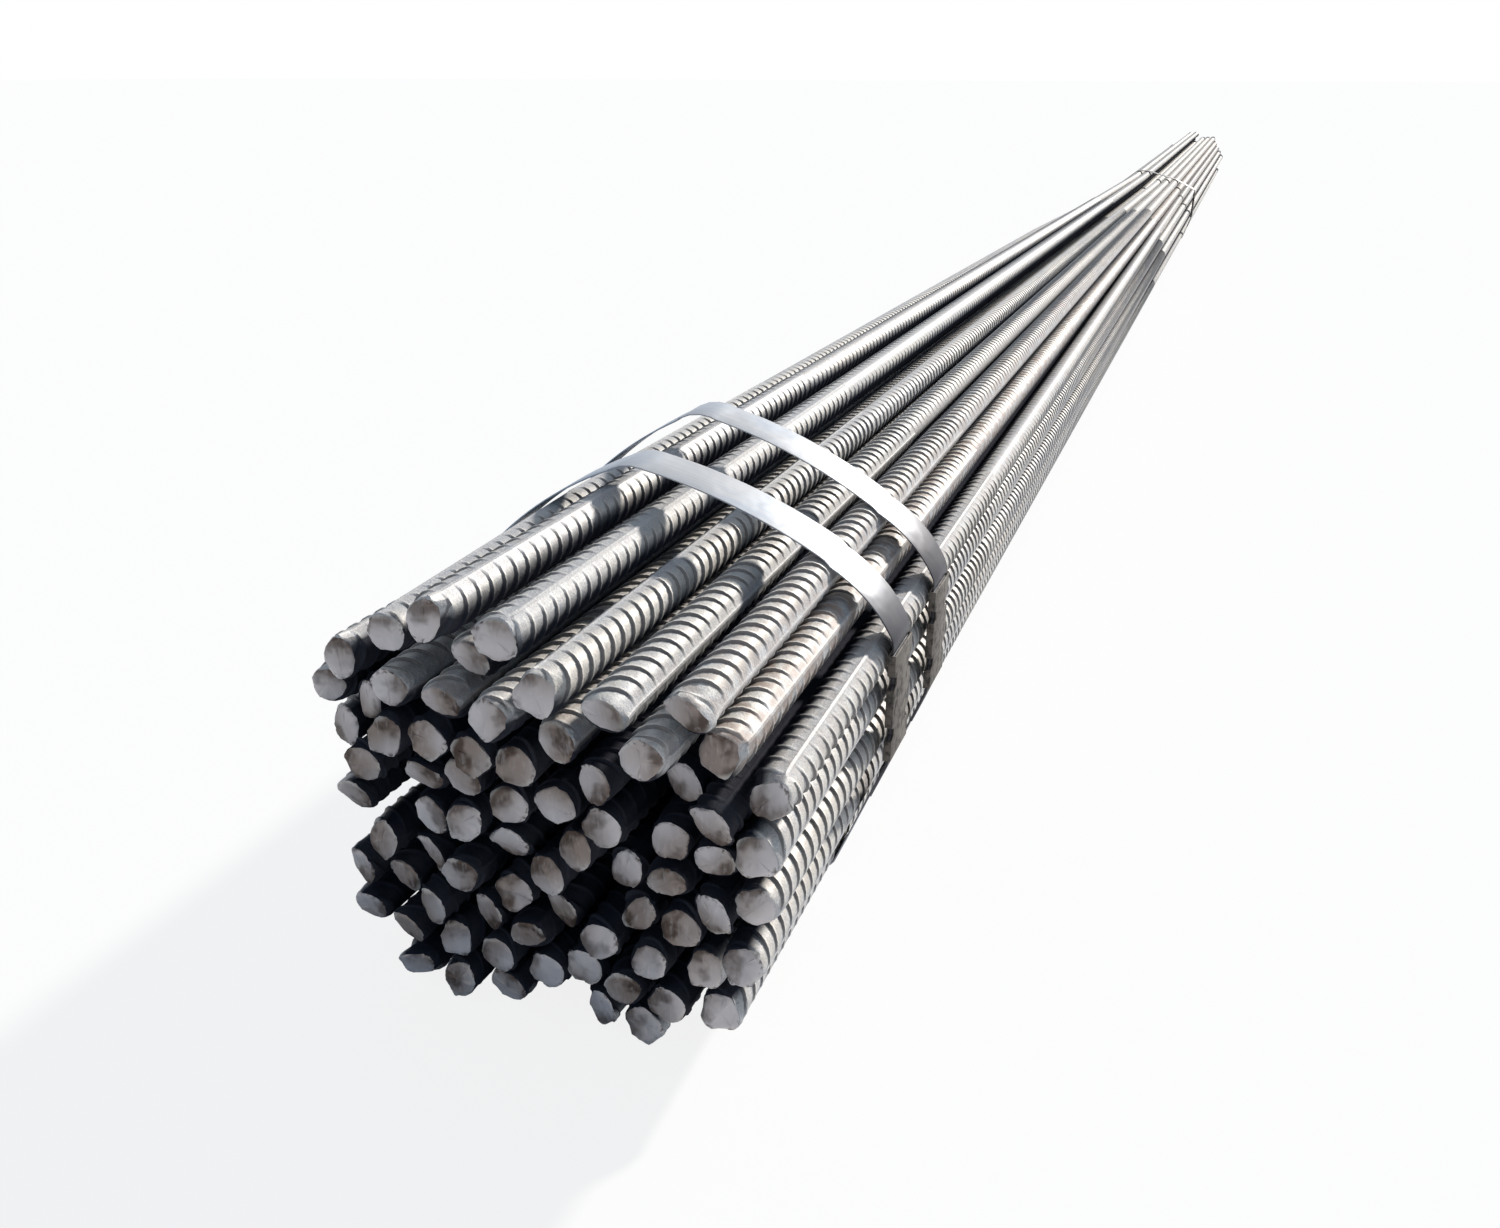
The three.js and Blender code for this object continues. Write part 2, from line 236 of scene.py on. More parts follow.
beside_seams = across.math("ABSOLUTE").rise(RIB_TIP, 0.75 * CORE_RADIUS)
# Painted shadow: a dark line on the front side of every rib, where a low light from behind casts it.
painted_rib_shadow = past_rib.rise(0.8, 0.86) * (1 - past_rib.rise(0.93, 0.96)) * beside_seams
blotches = clouds(scaled(here, (1, 0.15, 1)), 45, 3)
speckle = clouds(here, 900, 3)
pits = clouds(here, 1500, 2)
mottle = clouds(here, 160, 3)
streaks = clouds(scaled(here, (1, 0.03, 1)), 400, 2)
colour = mixed(blotches.rise(0.4, 0.65) * 0.6 + mottle.rise(0.5, 0.7) * 0.4, SCALE_GREY, SCALE_BLUE)
colour = mixed((1 - beside_seams) * 0.6, colour, SCALE_BLUE)
colour = mixed(raised * (0.4 + 0.6 * beside_seams) * (0.3 + 0.5 * streaks), colour, RUBBED)
colour = mixed(speckle.rise(0.4, 0.7) * 0.45, colour, RUBBED)
colour = mixed(pits.rise(0.5, 0.7) * 0.3, colour, DARK_SCALE_AND_SHADE)
# Painted rib shadows.
colour = mixed(painted_rib_shadow * 0.7, colour, DARK_SCALE_AND_SHADE)
# Painted shade: darker where the ribs are drawn only by bump, for the shade the missing relief would cast.
colour = mixed(bare * 0.14, colour, DARK_SCALE_AND_SHADE)
rusting = rust_of_bar * clouds(here, 110, 4).rise(0.35, 0.6) * (1 - 0.6 * raised)
colour = mixed(rusting, colour, RUST)
# Painted shade of the gaps between bars, on sides that face into the bundle.
colour = mixed(shelter * (0.92 + 0.08 * blotches), colour, DARK_SCALE_AND_SHADE)
drawn_ribs = ridge * crescent * RIB_HEIGHT * bare
height = drawn_ribs + speckle * SPECKLE_RELIEF + mottle * MOTTLE_RELIEF
surface = start.node(
    "BsdfPrincipled",
    {},
    {
        "Base Color": colour,
        "Metallic": 0.12 * (1 - shelter),
        "Specular IOR Level": 0,
        "Coat Weight": 0.55 * (1 - shelter) * (1 - 0.35 * bare),
        "Coat Roughness": 0.48,
        "Roughness": 0.56 + speckle * 0.12 + (rusting + bare + shelter) * 0.1,
        "Normal": start.node("Bump", {}, {"Height": height, "Distance": 1}),
    },
)
start.node("OutputMaterial", {}, {"Surface": surface})

# A sheared face is smeared smooth by the blade, with a rougher torn side, and has dulled from bluish white
# to brown.
CUT_PALE = (0.72, 0.66, 0.64, 1)
CUT_GREY = (0.33, 0.26, 0.22, 1)
CUT_BROWN = (0.08, 0.052, 0.038, 1)
TORN_SIDE = 0.25                        # how much more brown the torn side is than the middle
DRAG_RELIEF = 0.0003
SMEAR_RELIEF = 0.004
CHIP_RELIEF = 0.0008

cut_steel, start = new_material("cut steel")
here = start.node("TexCoord", {}, {}, output=3)
place = start.node("Attribute", {"attribute_name": "place"}, {}, output=1)
rust_of_bar = start.node("Attribute", {"attribute_name": "rust"}, {}, output=2)
across, _, upright = parts_of(place)
from_middle = (across * across + upright * upright).math("SQRT")
smear = clouds(here, 60, 1)
drag = clouds(scaled(here, (1, 1, 0.25)), 500, 3)
stains = clouds(here, 90, 2)
chips = clouds(here, 420, 2)
rim = from_middle.rise(0.75 * CORE_RADIUS, CORE_RADIUS)
torn = upright * (TORN_SIDE / CORE_RADIUS)
colour = mixed((torn + 0.5 * smear + rust_of_bar).rise(0.2, 0.85), CUT_PALE, CUT_GREY)
colour = mixed((torn + stains).rise(0.5, 0.75) * (0.5 + rust_of_bar), colour, CUT_BROWN)
colour = mixed(drag.rise(0.5, 0.75) * 0.25, colour, CUT_PALE)
# Dark chips round the rim: torn chips, their darkness partly painted shade in the recesses.
colour = mixed(rim * chips.rise(0.5, 0.62) * 0.8, colour, CUT_BROWN)
# Pale patches round the rim: burnished edge, partly a painted highlight.
colour = mixed(rim * smear.rise(0.5, 0.6) * 0.5, colour, RUBBED)
height = drag * DRAG_RELIEF + smear * SMEAR_RELIEF - rim * chips * CHIP_RELIEF
surface = start.node(
    "BsdfPrincipled",
    {},
    {
        "Base Color": colour,
        "Metallic": 0.2,
        "Specular IOR Level": 0.3,
        "Roughness": 0.42 + drag * 0.2,
        "Normal": start.node("Bump", {}, {"Height": height, "Distance": 1}),
    },
)
start.node("OutputMaterial", {}, {"Surface": surface})


def select_only(piece):
    """Makes one object the only selected one."""
    bpy.ops.object.select_all(action="DESELECT")
    piece.select_set(True)
    bpy.context.view_layer.objects.active = piece


def select_corners(piece, chosen):
    """Goes into edit mode with those corners selected for which a test of their x, y and z is true."""
    bpy.ops.object.mode_set(mode="OBJECT")
    select_only(piece)
    bpy.ops.object.mode_set(mode="EDIT")
    bpy.ops.mesh.select_mode(type="VERT")
    bpy.ops.mesh.select_all(action="DESELECT")
    bpy.ops.object.mode_set(mode="OBJECT")
    places = np.empty(len(piece.data.vertices) * 3)
    piece.data.vertices.foreach_get("co", places)
    piece.data.vertices.foreach_set("select", chosen(*places.reshape(-1, 3).T))
    bpy.ops.object.mode_set(mode="EDIT")


def copy_of(piece, name):
    """A free copy with a mesh of its own."""
    select_only(piece)
    bpy.ops.object.duplicate()
    bpy.ops.object.parent_clear()
    copy = bpy.context.object
    copy.name = name
    for key in list(copy.keys()):
        del copy[key]
    return copy


def join(pieces):
    """Joins objects into the first of them."""
    bpy.ops.object.select_all(action="DESELECT")
    for piece in pieces:
        piece.select_set(True)
    bpy.context.view_layer.objects.active = pieces[0]
    bpy.ops.object.join()
    return pieces[0]


def ribbed_length(sides, crests, rib_height, pitches):
    """A length of bar with ribs, open at both ends. Its first rib crosses the origin and it runs along Y."""
    bpy.ops.mesh.primitive_cylinder_add(
        vertices=sides,
        radius=CORE_RADIUS,
        depth=4 * RIB_PITCH,
        end_fill_type="NOTHING",
        rotation=(math.pi / 2, math.pi / sides, 0),
    )
    bpy.ops.object.transform_apply()
    bar = bpy.context.object
    bpy.ops.object.mode_set(mode="EDIT")
    slant = (0, 1, -RIB_SLANT)
    bpy.ops.mesh.bisect(plane_co=(0, -RIB_FOOT / 2, 0), plane_no=slant, clear_inner=True)
    bpy.ops.mesh.select_all(action="SELECT")
    bpy.ops.mesh.bisect(plane_co=(0, RIB_PITCH - RIB_FOOT / 2, 0), plane_no=slant, clear_outer=True)
    for place in (*crests, RIB_FOOT / 2):
        bpy.ops.mesh.select_all(action="SELECT")
        bpy.ops.mesh.bisect(plane_co=(0, place, 0), plane_no=slant)
    for edge in (-SEAM_TOP / 2, SEAM_TOP / 2):
        bpy.ops.mesh.select_all(action="SELECT")
        bpy.ops.mesh.bisect(plane_co=(edge, 0, 0), plane_no=(1, 0, 0))
    # Widening a crest, mostly sideways, raises a rib that stops short of the seams above and below.
    reach = max(abs(crest) for crest in crests) + MERGE
    rise = 1 + rib_height / (CORE_RADIUS - RIB_TIP)
    for side in (-1, 1):
        select_corners(bar, lambda x, y, z: (abs(y - RIB_SLANT * z) < reach) & (x * side > RIB_TIP))
        bpy.ops.transform.resize(value=(rise, 1, (2 + rise) / 3), center_override=(side * RIB_TIP, 0, 0))
    for side in (-1, 1):
        select_corners(bar, lambda x, y, z: (abs(x) < SEAM_TOP / 2 + MERGE) & (z * side > 0))
        bpy.ops.transform.translate(value=(0, 0, side * SEAM_HEIGHT))
    for foot in (-RIB_FOOT / 2, RIB_FOOT / 2, RIB_PITCH - RIB_FOOT / 2):
        select_corners(bar, lambda x, y, z: abs(y - RIB_SLANT * z - foot) < NEAR_RING)
        bpy.ops.mesh.mark_sharp()
    bpy.ops.object.mode_set(mode="OBJECT")
    array = bar.modifiers.new("pitches", "ARRAY")
    array.count = pitches
    array.use_relative_offset = False
    array.use_constant_offset = True
    array.constant_offset_displace = (0, RIB_PITCH, 0)
    array.use_merge_vertices = True
    array.merge_threshold = MERGE
    bpy.ops.object.modifier_apply(modifier=array.name)
    return bar


def shear(bar, kind):
    """Cuts off and closes the front of a bar with a sheared end, torn in one of several ways.

    Nothing of it reaches forward of the origin. Returns how much shorter the bar is.
    """
    chance = np.random.default_rng(kind)
    turn = chance.uniform(0, math.pi)
    cut = chance.uniform(0.7, 1.6) * RIB_PITCH
    squeeze = chance.uniform(0.72, 0.94)
    draw = chance.uniform(0.001, 0.0045)
    lip = chance.uniform(0.0004, 0.002)
    lean = chance.uniform(-0.15, 0.2)
    select_corners(bar, lambda x, y, z: y > ALL_OF_IT)
    bpy.ops.mesh.bisect(
        plane_co=(0, cut, 0), plane_no=(0, 1, 0), clear_inner=True, use_fill=True, threshold=MERGE
    )
    bpy.ops.mesh.vertices_smooth(factor=0.5, repeat=3, yaxis=False)
    select_corners(bar, lambda x, y, z: (y < cut + 2 * MERGE) & (abs(x) < SEAM_TOP))
    bpy.ops.transform.resize(value=(1, 1, 1 - 0.6 * SEAM_HEIGHT / CORE_RADIUS), center_override=(0, 0, 0))
    select_corners(bar, lambda x, y, z: y < cut + 2 * MERGE)
    for forward, ring in ROUNDED_EDGE:
        bpy.ops.mesh.extrude_region_move(TRANSFORM_OT_translate={"value": (0, -forward, 0)})
        bpy.ops.transform.resize(value=(ring, 1, ring), center_override=(0, 0, 0))
    bpy.ops.mesh.poke()
    for _ in ROUNDED_EDGE[1:]:
        bpy.ops.mesh.select_more()
    bar.active_material_index = 1
    bpy.ops.object.material_slot_assign()
    # The blades close along one direction, which spreads the end the other way.
    select_corners(bar, lambda x, y, z: y > ALL_OF_IT)
    bpy.ops.transform.rotate(value=turn, orient_axis="Y", center_override=(0, 0, 0))
    bpy.ops.transform.translate(value=(0, -cut, 0))
    select_corners(bar, lambda x, y, z: y < MERGE)
    bpy.ops.transform.resize(
        value=(squeeze ** -0.4, 1, squeeze),
        center_override=(0, 0, 0),
        use_proportional_edit=True,
        proportional_edit_falloff="SMOOTH",
        proportional_size=CUT_REACH,
    )
    # One blade draws the edge over. The other leaves a torn lip.
    edge = squeeze * CORE_RADIUS
    select_corners(bar, lambda x, y, z: (y < MERGE) & (z > 0.8 * edge))
    bpy.ops.transform.translate(
        value=(0, draw, -draw / 3),
        use_proportional_edit=True,
        proportional_edit_falloff="SMOOTH",
        proportional_size=0.9 * CORE_RADIUS,
    )
    select_corners(bar, lambda x, y, z: (y < MERGE) & (z < -0.85 * edge))
    bpy.ops.transform.translate(
        value=(0, -lip, -lip),
        use_proportional_edit=True,
        proportional_edit_falloff="SHARP",
        proportional_size=0.5 * CORE_RADIUS,
    )
    bpy.ops.mesh.select_all(action="DESELECT")
    bpy.ops.object.material_slot_select()
    bpy.ops.transform.rotate(value=lean, orient_axis="X", center_override=(0, 0, 0))
    bpy.ops.transform.vertex_random(offset=CUT_UNEVEN, uniform=0.7, seed=kind)
    bpy.ops.mesh.select_all(action="SELECT")
    bpy.ops.transform.rotate(value=-turn, orient_axis="Y", center_override=(0, 0, 0))
    bpy.ops.object.mode_set(mode="OBJECT")
    foremost = min(corner.co.y for corner in bar.data.vertices) - LEAN_ROOM
    select_corners(bar, lambda x, y, z: y > ALL_OF_IT)
    bpy.ops.transform.translate(value=(0, -foremost, 0))
    bpy.ops.object.mode_set(mode="OBJECT")
    return cut + foremost


def model_bar(near_pitches, far_pitches, kind):
    """A whole straight bar from its front cut along Y: ribs modelled closely, then plainly, then none."""
    near = ribbed_length(FINE_SIDES, (-RIB_TOP / 2, RIB_TOP / 2), RIB_HEIGHT, near_pitches)
    far = ribbed_length(PLAIN_SIDES, (0,), 0.8 * RIB_HEIGHT, far_pitches)
    back = ribbed_length(PLAIN_SIDES, (0,), RIB_HEIGHT, BACK_PITCHES)
    for length in (near, far, back):
        length.data.materials.append(rolled_steel)
        length.data.materials.append(cut_steel)
    shear(near, kind)
    cut_back = shear(back, kind + CUT_KINDS)
    near_end = max(corner.co.y - RIB_SLANT * corner.co.z for corner in near.data.vertices) - RING_SKEW
    far_start = near_end + NEAR_GAP
    far_end = far_start + far_pitches * RIB_PITCH
    joint = (near_end + far_start) / 2
    select_corners(far, lambda x, y, z: y > ALL_OF_IT)
    bpy.ops.transform.translate(value=(0, far_start + RIB_FOOT / 2, 0))
    select_corners(far, lambda x, y, z: abs(y - RIB_SLANT * z - far_end) < NEAR_RING)
    bpy.ops.mesh.extrude_region_move()
    bpy.ops.transform.resize(value=(1, 0, 1), center_override=(0, BEND, 0))
    bpy.ops.object.mode_set(mode="OBJECT")
    bar = join([near, far])
    select_corners(bar, lambda x, y, z: abs(y - RIB_SLANT * z - joint) < NEAR_GAP / 2 + NEAR_RING)
    bpy.ops.mesh.bridge_edge_loops()
    bpy.ops.object.mode_set(mode="OBJECT")
    back.rotation_euler.x = math.pi
    back.location.y = END
    select_only(back)
    bpy.ops.object.transform_apply()
    bar = join([bar, back])
    select_corners(bar, lambda x, y, z: y < ALL_OF_IT)
    bpy.ops.mesh.select_non_manifold()
    bpy.ops.mesh.bridge_edge_loops()
    bpy.ops.object.mode_set(mode="OBJECT")
    bpy.ops.object.shade_smooth_by_angle(angle=math.radians(35))
    places = np.empty(len(bar.data.vertices) * 3)
    bar.data.vertices.foreach_get("co", places)
    slanted = places[1::3] - RIB_SLANT * places[2::3]
    back_start = END + cut_back - BACK_PITCHES * RIB_PITCH + RIB_FOOT / 2
    ribs_passed = (slanted - far_start - RIB_FOOT / 2) / RIB_PITCH
    ribs_passed[slanted < joint] += NEAR_GAP / RIB_PITCH
    bare = (slanted > far_end - NEAR_RING) & (slanted < back_start + NEAR_RING)
    bar.data.attributes.new("place", "FLOAT_VECTOR", "POINT").data.foreach_set("vector", places)
    bar.data.attributes.new("ribs_passed", "FLOAT", "POINT").data.foreach_set("value", ribs_passed)
    bar.data.attributes.new("bare", "FLOAT", "POINT").data.foreach_set("value", bare.astype(float))
    return bar


def cut_middles(node, facing):
    """The middles of the cuts of a CAD node's bars at one end, from left to right."""
    loose = copy_of(node, "loose")
    bpy.ops.object.mode_set(mode="EDIT")
    bpy.ops.mesh.select_mode(type="FACE")
    bpy.ops.mesh.select_all(action="DESELECT")
    bpy.ops.object.mode_set(mode="OBJECT")
    for face in loose.data.polygons:
        face.select = face.normal.y * facing < CUT_FACING
    bpy.ops.object.mode_set(mode="EDIT")
    bpy.ops.mesh.delete(type="FACE")
    bpy.ops.mesh.select_all(action="SELECT")
    bpy.ops.mesh.remove_doubles(threshold=MERGE)
    bpy.ops.mesh.separate(type="LOOSE")
    bpy.ops.object.mode_set(mode="OBJECT")
    middles = []
    for cut in bpy.context.selected_objects:
        corners = [Vector(corner) for corner in cut.bound_box]
        middles.append((corners[0] + corners[6]) / 2)
    bpy.ops.object.delete()
    return sorted(middles, key=lambda middle: middle.x)


def lay(model, name, front, back, seam_turn, rust, outward, bows=()):
    """A model bar turned about its own line and laid from its front cut over its bend to its back cut.

    Its sides that don't face outward get painted shade of the gaps between bars, and a bar inside the bundle
    gets it all round. A slack bar bows outward in front of its bend: how far along, as a share of the way
    there, and by how much.
    """
    bend = Vector((back.x, TIGHT_FROM, back.z))
    path = [front, *(front.lerp(bend, share) + bow * outward for share, bow in bows), bend]
    bar = copy_of(model, name)
    bar.rotation_euler.y = seam_turn
    bpy.ops.object.transform_apply()
    places = np.empty(len(bar.data.vertices) * 3)
    bar.data.vertices.foreach_get("co", places)
    facing = places.reshape(-1, 3) @ outward / CORE_RADIUS
    # Painted shade of the gaps: dark where the skin faces across or into the bundle, none where it faces
    # outward.
    shelter = np.clip((SIDE_GAP_SHADE if outward.length else 1) - GAP_SHADE_FALL * facing, 0, 1)
    bar.data.attributes.new("shelter", "FLOAT", "POINT").data.foreach_set("value", shelter)
    select_corners(bar, lambda x, y, z: abs(y - BEND) < NEAR_BEND)
    bpy.ops.transform.translate(value=bend - front - Vector((0, BEND, 0)))
    select_corners(bar, lambda x, y, z: y > END - NEAR_END)
    bpy.ops.transform.translate(value=back - front - Vector((0, END, 0)))
    aside, up = 0, 0
    for hinge, goal in zip(path, path[1:]):
        line = goal - hinge
        hinge = hinge - front
        select_corners(bar, lambda x, y, z: (y > hinge.y - CUT_REACH) & (y < BEND - NEAR_BEND))
        turn = math.atan2(line.x, line.y) - aside
        bpy.ops.transform.rotate(value=turn, orient_axis="Z", center_override=hinge)
        turn = math.atan2(line.z, line.y) - up
        bpy.ops.transform.rotate(value=-turn, orient_axis="X", center_override=hinge)
        aside, up = math.atan2(line.x, line.y), math.atan2(line.z, line.y)
    bpy.ops.mesh.select_all(action="SELECT")
    bpy.ops.transform.translate(value=front)
    bpy.ops.object.mode_set(mode="OBJECT")
    ages = np.full(len(bar.data.vertices), rust)
    bar.data.attributes.new("rust", "FLOAT", "POINT").data.foreach_set("value", ages)
    return bar


# ================================================================ outer bars
# The twenty-seven bars round the outside. Those on the top and on the right lie open to view for their whole
# length, those on the left and underneath only near their ends, so fewer of their ribs are modelled.
HEART = 0.12                            # height of the middle of the bundle
OPEN_RIBS = (48, 184)                   # ribs modelled closely, then plainly, in the open ...
HIDDEN_RIBS = (20, 100)                 # ... and on the left side and underneath
OPEN_BARS = {                           # how far the seams are turned clockwise, and how rusty the bar is
    "bar_07": (-50, 0.1),
    "bar_09": (-40, 0.3),
    "bar_11": (-60, 0.2),
    "bar_13": (-50, 0.2),
    "bar_15": (-58, 0.2),
    "bar_16": (20, 0.2),
    "bar_17": (-155, 0.25),
    "bar_18": (0, 0.2),
    "bar_19": (85, 0.3),
    "bar_20": (68, 0.7),
    "bar_21": (-20, 0.1),
    "bar_22": (60, 0.2),
    "bar_23": (-18, 0.15),
    "bar_24": (85, 0.15),
    "bar_25": (92, 0.4),
    "bar_26": (14, 0.2),
    "bar_27": (25, 0.1),
}
SLACK_BAR = "bar_21"                    # this one bows out under the slack straps, as far as they let it,
BAR_BOWS = ((0.06, 0.006), (0.547, 0.010))  # and stays out to over half way to its bend

open_models = [model_bar(*OPEN_RIBS, kind) for kind in range(CUT_KINDS)]
hidden_models = [model_bar(*HIDDEN_RIBS, kind) for kind in range(0, CUT_KINDS, 2)]
outer_names = sorted(name for name in frame["nodes"] if name.startswith("bar_"))
chance = np.random.default_rng(3)
for number, name in enumerate(outer_names):
    node = frame["nodes"][name]
    front = cut_middles(node, -1)[0]
    back = cut_middles(node, 1)[0]
    if name in OPEN_BARS:
        turn, rust = OPEN_BARS[name]
        model = open_models[number % len(open_models)]
    else:
        turn, rust = chance.uniform(0, 360), chance.uniform(0.1, 0.5)
        model = hidden_models[number % len(hidden_models)]
    outward = Vector((front.x, 0, front.z - HEART)).normalized()
    bows = BAR_BOWS if name == SLACK_BAR else ()
    bar = lay(model, "ribbed_" + name, front, back, math.radians(turn), rust, outward, bows)
    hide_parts(name)
    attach(bar, "root")


# ================================================================ inner bars
# The bars inside the bundle, one piece to a layer. Only their ends and the first few ribs can be seen between
# the outer ones, except in the highest layer, which shows through the gaps at the top.
INNER_RIBS = (10, 16)

inner_models = [model_bar(*INNER_RIBS, kind) for kind in range(CUT_KINDS)]
inner_names = sorted(name for name in frame["nodes"] if name.startswith("inner_bars_"))
for name in inner_names:
    node = frame["nodes"][name]
    fronts = cut_middles(node, -1)
    backs = cut_middles(node, 1)
    highest = name == inner_names[-1]
    models = open_models if highest else inner_models
    layer = []
    for front, back in zip(fronts, backs):
        model = models[chance.integers(len(models))]
        rust = chance.uniform(0.1, 0.6)
        turn = math.pi / 2 + chance.uniform(-0.3, 0.3) if highest else chance.uniform(0, 2 * math.pi)
        # The lower layers get painted shade all round; the highest only where its skin doesn't face up.
        layer.append(lay(model, "laid", front, back, turn, rust, Vector((0, 0, highest))))
    bars = join(layer)
    bars.name = "ribbed_" + name
    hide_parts(name)
    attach(bars, "root")
for model in (*open_models, *hidden_models, *inner_models):
    select_only(model)
    bpy.ops.object.delete()


# ================================================================ straps
# Flat bands of bright spring steel, 32 mm wide, pulled round the bundle by a tensioner. Over a gap between
# bars they run straight, and the two slack ones in front bow out a little.
STRAP_EDGE = 0.0002                     # the slit edges are rounded by this much
STRAP_BRIGHT = (0.47, 0.48, 0.50, 1)
STRAP_BLUE = (0.30, 0.365, 0.465, 1)
STRAP_DULL = (0.05, 0.05, 0.06, 1)      # in the shade on the right. The far strap is nearly black
STRAP_FADE = (-2.84, -2.76)             # between these places along the bundle ...
STRAP_SOONER = 0.012                    # ... the shade on the straps begins this much further left
STRAP_RELIEF = 0.0012
DRAWN_RELIEF = 0.00005
STRAP_STEPS = 7                         # cuts across a strap on either side of the middle of a bow
STRAP_NEAR = 0.004                      # the middle of a strap lies within this of where it is named
SLACK_BOWS = (                          # where the two slack straps bow out between bars: x, z, half the
    (0.117, 0.199, 0.030, 0.0055),      # length, and how far
    (0.044, 0.244, 0.058, 0.0050),
    (-0.073, 0.235, 0.048, 0.0047),
)

strap_steel, start = new_material("bright strap steel")
here = start.node("TexCoord", {}, {}, output=3)
drawn = clouds(scaled(here, (1, 60, 1)), 14, 3)
patches = clouds(here, 28, 3)
sideways, along, _ = parts_of(here)
colour = mixed(drawn.rise(0.3, 0.75) * 0.4 + patches.rise(0.45, 0.7) * 0.3, STRAP_BRIGHT, STRAP_BLUE)
# Painted reflection of the blue sky: the straps turn blue on the left, where they face up and to the left.
colour = mixed(1 - sideways.rise(-0.06, 0.0), colour, STRAP_BLUE)
shaded = (sideways + along.rise(*STRAP_FADE) * STRAP_SOONER).rise(0.095, 0.138)
colour = mixed(shaded, colour, STRAP_DULL)
colour = mixed(along.rise(-1, 0) * 0.85, colour, DARK_SCALE_AND_SHADE)
height = clouds(here, 40, 2) * STRAP_RELIEF + drawn * DRAWN_RELIEF
surface = start.node(
    "BsdfPrincipled",
    {},
    {
        "Base Color": colour,
        "Metallic": 0.5,
        "Roughness": 0.36 + patches * 0.2,
        "Normal": start.node("Bump", {}, {"Height": height, "Distance": 1}),
    },
)
start.node("OutputMaterial", {}, {"Surface": surface})


def banding(node, name, material, edge, bows):
    """A CAD strap or seal in its own steel, bowed out between bars and with rounded edges."""
    piece = copy_of(node, name)
    piece.data.materials.clear()
    piece.data.materials.append(material)
    bpy.ops.object.mode_set(mode="EDIT")
    bpy.ops.mesh.select_all(action="SELECT")
    bpy.ops.mesh.remove_doubles(threshold=MERGE)
    bpy.ops.mesh.dissolve_limited(angle_limit=math.radians(1))
    for across, up, reach, bow in bows:
        along = Vector((up - HEART, 0, -across)).normalized()
        for step in range(-STRAP_STEPS, STRAP_STEPS + 1):
            middle = Vector((across, 0, up)) + step / STRAP_STEPS * reach * along
            bpy.ops.mesh.select_all(action="SELECT")
            bpy.ops.mesh.bisect(plane_co=middle, plane_no=along)
    for across, up, reach, bow in bows:
        select_corners(piece, lambda x, y, z: np.hypot(x - across, z - up) < STRAP_NEAR)
        bpy.ops.transform.translate(
            value=bow * Vector((across, 0, up - HEART)).normalized(),
            use_proportional_edit=True,
            proportional_edit_falloff="INVERSE_SQUARE",
            proportional_size=reach,
        )
    bpy.ops.object.mode_set(mode="OBJECT")
    bevel = piece.modifiers.new("edges", "BEVEL")
    bevel.width = edge
    bevel.segments = 2
    bevel.limit_method = "ANGLE"
    bevel.angle_limit = math.radians(50)
    bpy.ops.object.modifier_apply(modifier=bevel.name)
    bpy.ops.object.shade_smooth_by_angle(angle=math.radians(30))
    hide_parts(node.name)
    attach(piece, "root")


for name, bows in (("strap_1", SLACK_BOWS), ("strap_2", SLACK_BOWS), ("strap_3", ())):
    banding(frame["nodes"][name], "bright_" + name, strap_steel, STRAP_EDGE, bows)


# ================================================================ seals
# Folded steel clips that hold the lapped ends of each strap, crimped by two pairs of notches in each edge.
# They are plain steel, dulled brown by weather.
SEAL_EDGE = 0.00025
SEAL_GREY = (0.12, 0.105, 0.09, 1)
SEAL_BROWN = (0.022, 0.017, 0.014, 1)
SEAL_RELIEF = 0.0002

seal_steel, start = new_material("dull seal steel")
here = start.node("TexCoord", {}, {}, output=3)
grime = clouds(here, 220, 4)
grain = clouds(here, 900, 2)
colour = mixed(grime.rise(0.42, 0.68), SEAL_GREY, SEAL_BROWN)
colour = mixed(grain.rise(0.6, 0.8) * 0.25, colour, STRAP_BRIGHT)
surface = start.node(
    "BsdfPrincipled",
    {},
    {
        "Base Color": colour,
        "Metallic": 0.3,
        "Roughness": 0.45 + grime * 0.25,
        "Normal": start.node("Bump", {}, {"Height": grain * SEAL_RELIEF, "Distance": 1}),
    },
)
start.node("OutputMaterial", {}, {"Surface": surface})
for name in ("seal_1", "seal_2", "seal_3"):
    banding(frame["nodes"][name], "crimped_" + name, seal_steel, SEAL_EDGE, ())


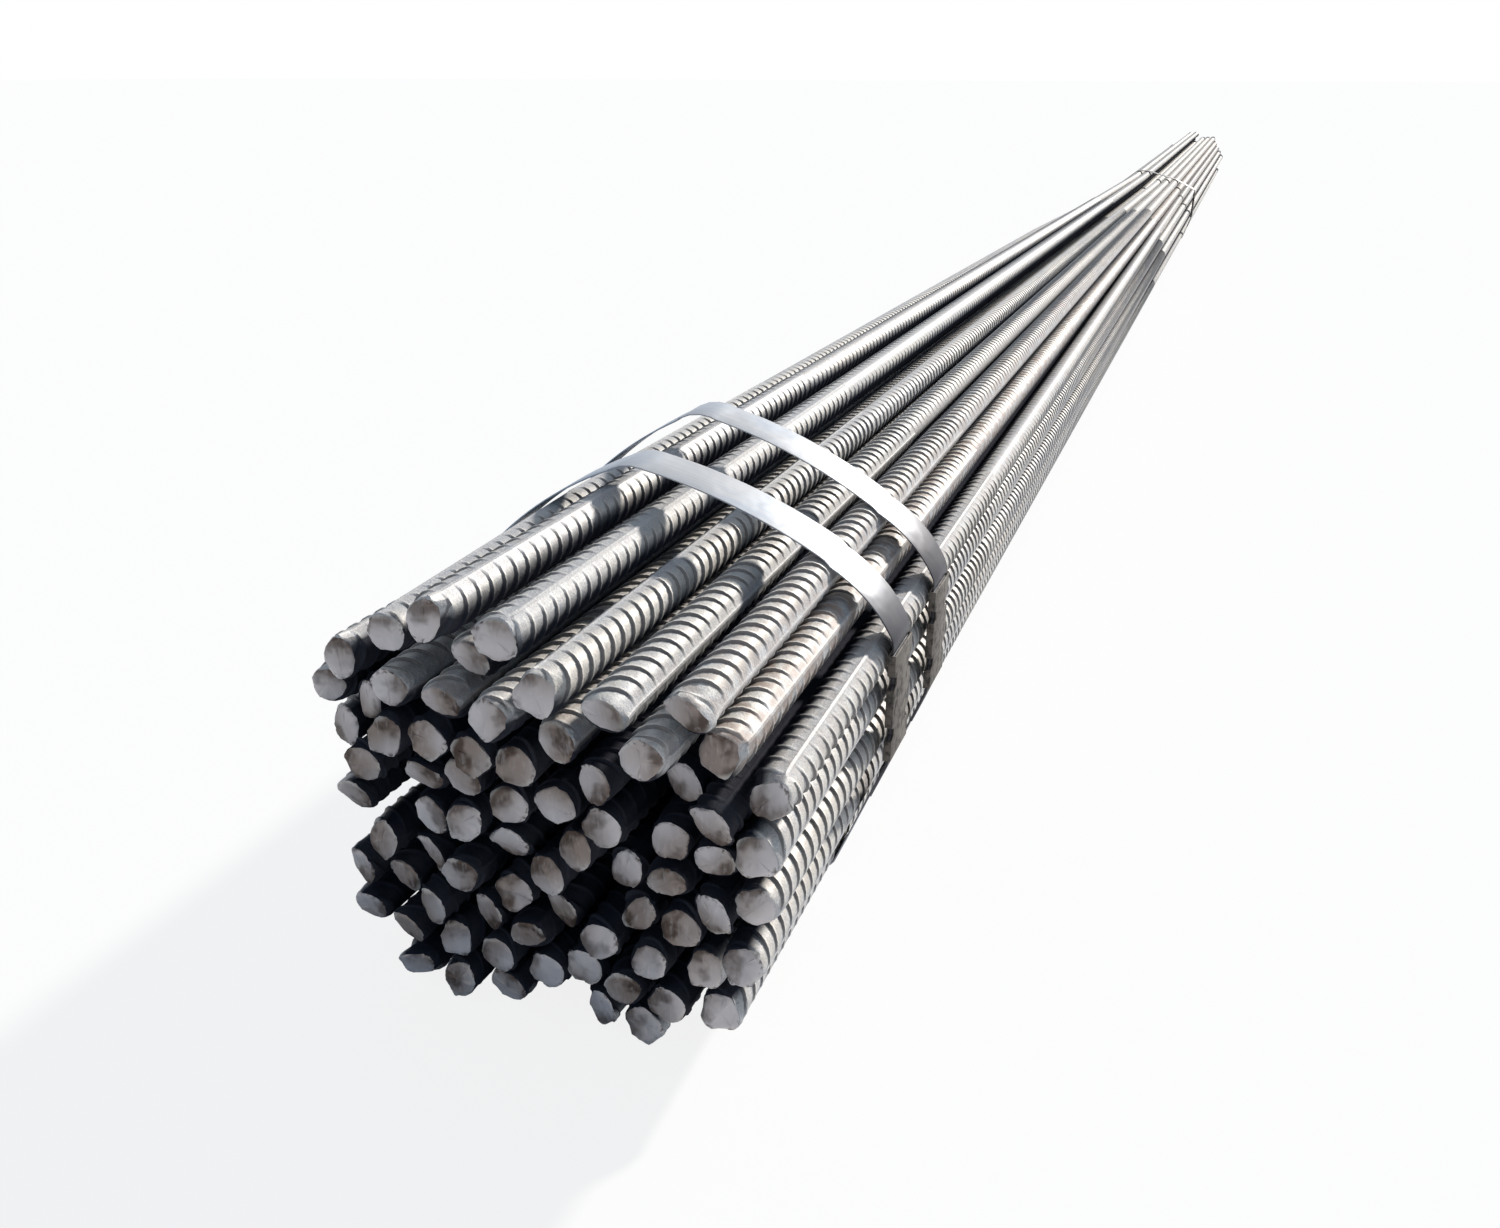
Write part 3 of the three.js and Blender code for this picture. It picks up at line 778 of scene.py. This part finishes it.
# ================================================================ floor and light
# A plain white floor without end, an even white sky, and one low sun from behind and to the right.
FLOOR_HALF = 60
FLOOR_WHITE = (0.95, 0.95, 0.95, 1)
FLOOR_GLOW = 0.85                       # share of the floor's white that doesn't come from the light
SUN_FROM = Vector((0.4, 1, 0.53))
SUN_STRENGTH = 5
SUN_WIDTH = math.radians(4)
SUN_COLOUR = (1, 0.955, 0.89)
SKY_COLOUR = (0.55, 0.74, 1, 1)
SKY_STRENGTH = 0.32
WHITE = (1, 1, 1, 1)

bpy.ops.object.select_all(action="DESELECT")
bpy.ops.mesh.primitive_grid_add(x_subdivisions=1, y_subdivisions=1, size=2 * FLOOR_HALF)
floor = bpy.context.object
floor.name = "floor"
floor_white, start = new_material("white floor")
camera_ray = start.node("LightPath", {}, {}, output=0)
lit = start.node("BsdfDiffuse", {}, {"Color": FLOOR_WHITE})
glow = start.node("Emission", {}, {"Color": WHITE, "Strength": 1})
surface = start.node("MixShader", {}, {0: camera_ray * FLOOR_GLOW, 1: lit, 2: glow})
start.node("OutputMaterial", {}, {"Surface": surface})
floor.data.materials.append(floor_white)

bpy.ops.object.light_add(type="SUN", rotation=SUN_FROM.to_track_quat("Z", "Y").to_euler())
sun = bpy.context.object
sun.name = "sun"
sun.data.energy = SUN_STRENGTH
sun.data.angle = SUN_WIDTH
sun.data.color = SUN_COLOUR

world = bpy.data.worlds.new("sky")
bpy.context.scene.world = world
world.use_nodes = True
world.node_tree.nodes.clear()
start = Shade(world.node_tree)
rays = [start.node("LightPath", {}, {}, output=kind) for kind in ("Is Camera Ray", "Is Glossy Ray")]
seen = rays[0].math("MAXIMUM", rays[1]).math(
    "MAXIMUM", start.node("LightPath", {}, {}, output="Is Transmission Ray")
)
backdrop = start.node("Background", {}, {"Color": WHITE, "Strength": 1})
fill = start.node("Background", {}, {"Color": SKY_COLOUR, "Strength": SKY_STRENGTH})
start.node("OutputWorld", {}, {"Surface": start.node("MixShader", {}, {0: seen, 1: fill, 2: backdrop})})
